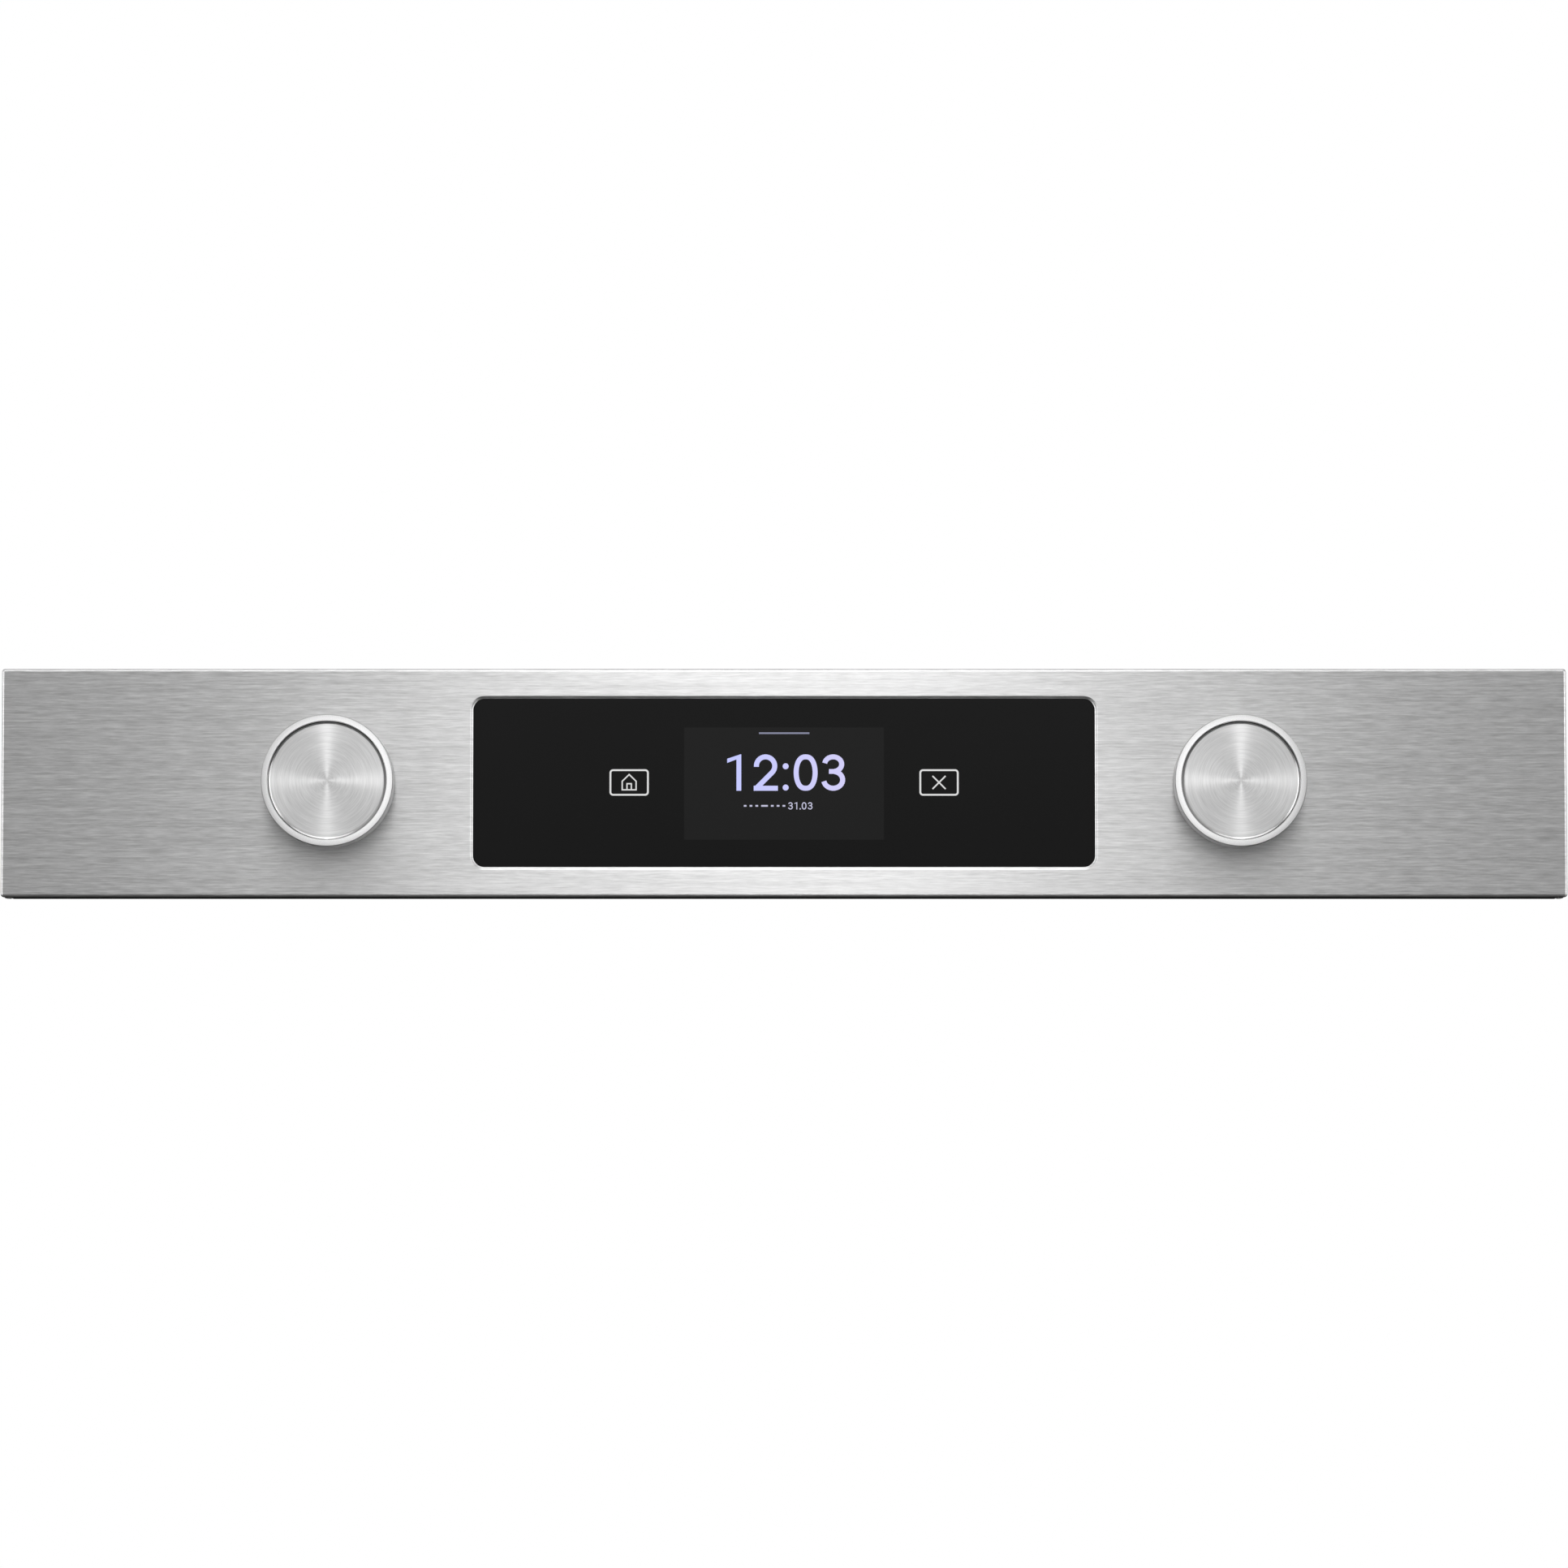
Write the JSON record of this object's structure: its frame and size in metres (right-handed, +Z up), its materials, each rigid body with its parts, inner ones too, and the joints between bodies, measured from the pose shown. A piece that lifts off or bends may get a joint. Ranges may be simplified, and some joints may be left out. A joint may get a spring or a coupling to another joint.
{
  "type": "wall oven control panel",
  "caption": "Wide brushed stainless control panel of a built-in wall oven: a black glass touch display between round push-and-turn knobs, closed behind by a vented chassis.",
  "frame": {"origin": "centre of the chassis's rear face, which lies in the same plane as the end brackets' rear flanges", "axes": "+X along the panel to the right as seen from the front, +Y backwards into the oven, +Z up; the face looks along -Y"},
  "size_m": [0.7556, 0.0705, 0.1107],
  "materials": {
    "stainless": "stainless sheet, brushed lengthwise",
    "satin_ring": "fine satin, knurled skirt",
    "spun_cap": "spun brushed, bright chamfer",
    "galvanised": "galvanised sheet, faint spangle",
    "zinc_plate": "zinc plated, semi-bright",
    "black_paint": "black powder coat",
    "display_glass": "glossy glass printed black behind",
    "screen": "liquid crystal cell behind the glass",
    "black_plastic": "moulded black ABS, fine texture",
    "white_plastic": "moulded white nylon",
    "circuit_board": "green solder mask on glass epoxy",
    "chip": "moulded epoxy",
    "ribbon": "polyester flat cable",
    "lead_jacket": "PVC jacket",
    "rubber": "black silicone rubber"
  },
  "bodies": {
    "panel": {"fascia": "stainless", "lower_trim": "black_paint", "window_gasket": "rubber", "touch_glass": "display_glass", "screen_frame": "zinc_plate", "screen_cell": "screen", "display_housing": "black_plastic", "display_ribbon": "ribbon", "main_board": "circuit_board", "processor": "chip", "buzzer": "black_plastic", "ribbon_socket": "white_plastic", "harness_header": "white_plastic", "rear_chassis": "galvanised", "end_bracket_left": "black_paint", "key_board_left": "circuit_board", "light_guide_left": "white_plastic", "housing_nut_left": "zinc_plate", "encoder_socket_left": "white_plastic", "encoder_bracket_left": "galvanised", "encoder_body_left": "zinc_plate", "encoder_board_left": "circuit_board", "encoder_header_left": "white_plastic", "encoder_nut_left": "zinc_plate", "shaft_seal_left": "rubber", "encoder_lead_left": "lead_jacket", "bracket_nut_left_lower": "zinc_plate", "chassis_screw_left_lower": "zinc_plate", "bracket_nut_left_upper": "zinc_plate", "chassis_screw_left_upper": "zinc_plate", "end_bracket_right": "black_paint", "key_board_right": "circuit_board", "light_guide_right": "white_plastic", "housing_nut_right": "zinc_plate", "encoder_socket_right": "white_plastic", "encoder_bracket_right": "galvanised", "encoder_body_right": "zinc_plate", "encoder_board_right": "circuit_board", "encoder_header_right": "white_plastic", "encoder_nut_right": "zinc_plate", "shaft_seal_right": "rubber", "encoder_lead_right": "lead_jacket", "bracket_nut_right_lower": "zinc_plate", "chassis_screw_right_lower": "zinc_plate", "bracket_nut_right_upper": "zinc_plate", "chassis_screw_right_upper": "zinc_plate"},
    "left_push": {"encoder_slider_left": "black_plastic"},
    "left_knob": {"encoder_shaft_left": "zinc_plate", "knob_clip_left": "zinc_plate", "knob_core_left": "black_plastic", "knob_ring_left": "satin_ring", "knob_cap_left": "spun_cap"},
    "right_push": {"encoder_slider_right": "black_plastic"},
    "right_knob": {"encoder_shaft_right": "zinc_plate", "knob_clip_right": "zinc_plate", "knob_core_right": "black_plastic", "knob_ring_right": "satin_ring", "knob_cap_right": "spun_cap"}
  },
  "joints": [
    {"name": "left_knob_press", "type": "slide", "parent": "panel", "child": "left_push", "axis": [0, 1, 0], "range_m": [0, 0.0008], "stiffness_N_per_m": 3000, "springref_m": -0.0006},
    {"name": "left_knob_turn", "type": "hinge", "parent": "left_push", "child": "left_knob", "pos_m": [-0.219, -0.06, 0], "axis": [0, 1, 0], "continuous": true},
    {"name": "right_knob_press", "type": "slide", "parent": "panel", "child": "right_push", "axis": [0, 1, 0], "range_m": [0, 0.0008], "stiffness_N_per_m": 3000, "springref_m": -0.0006},
    {"name": "right_knob_turn", "type": "hinge", "parent": "right_push", "child": "right_knob", "pos_m": [0.219, -0.06, 0], "axis": [0, 1, 0], "continuous": true}
  ]
}
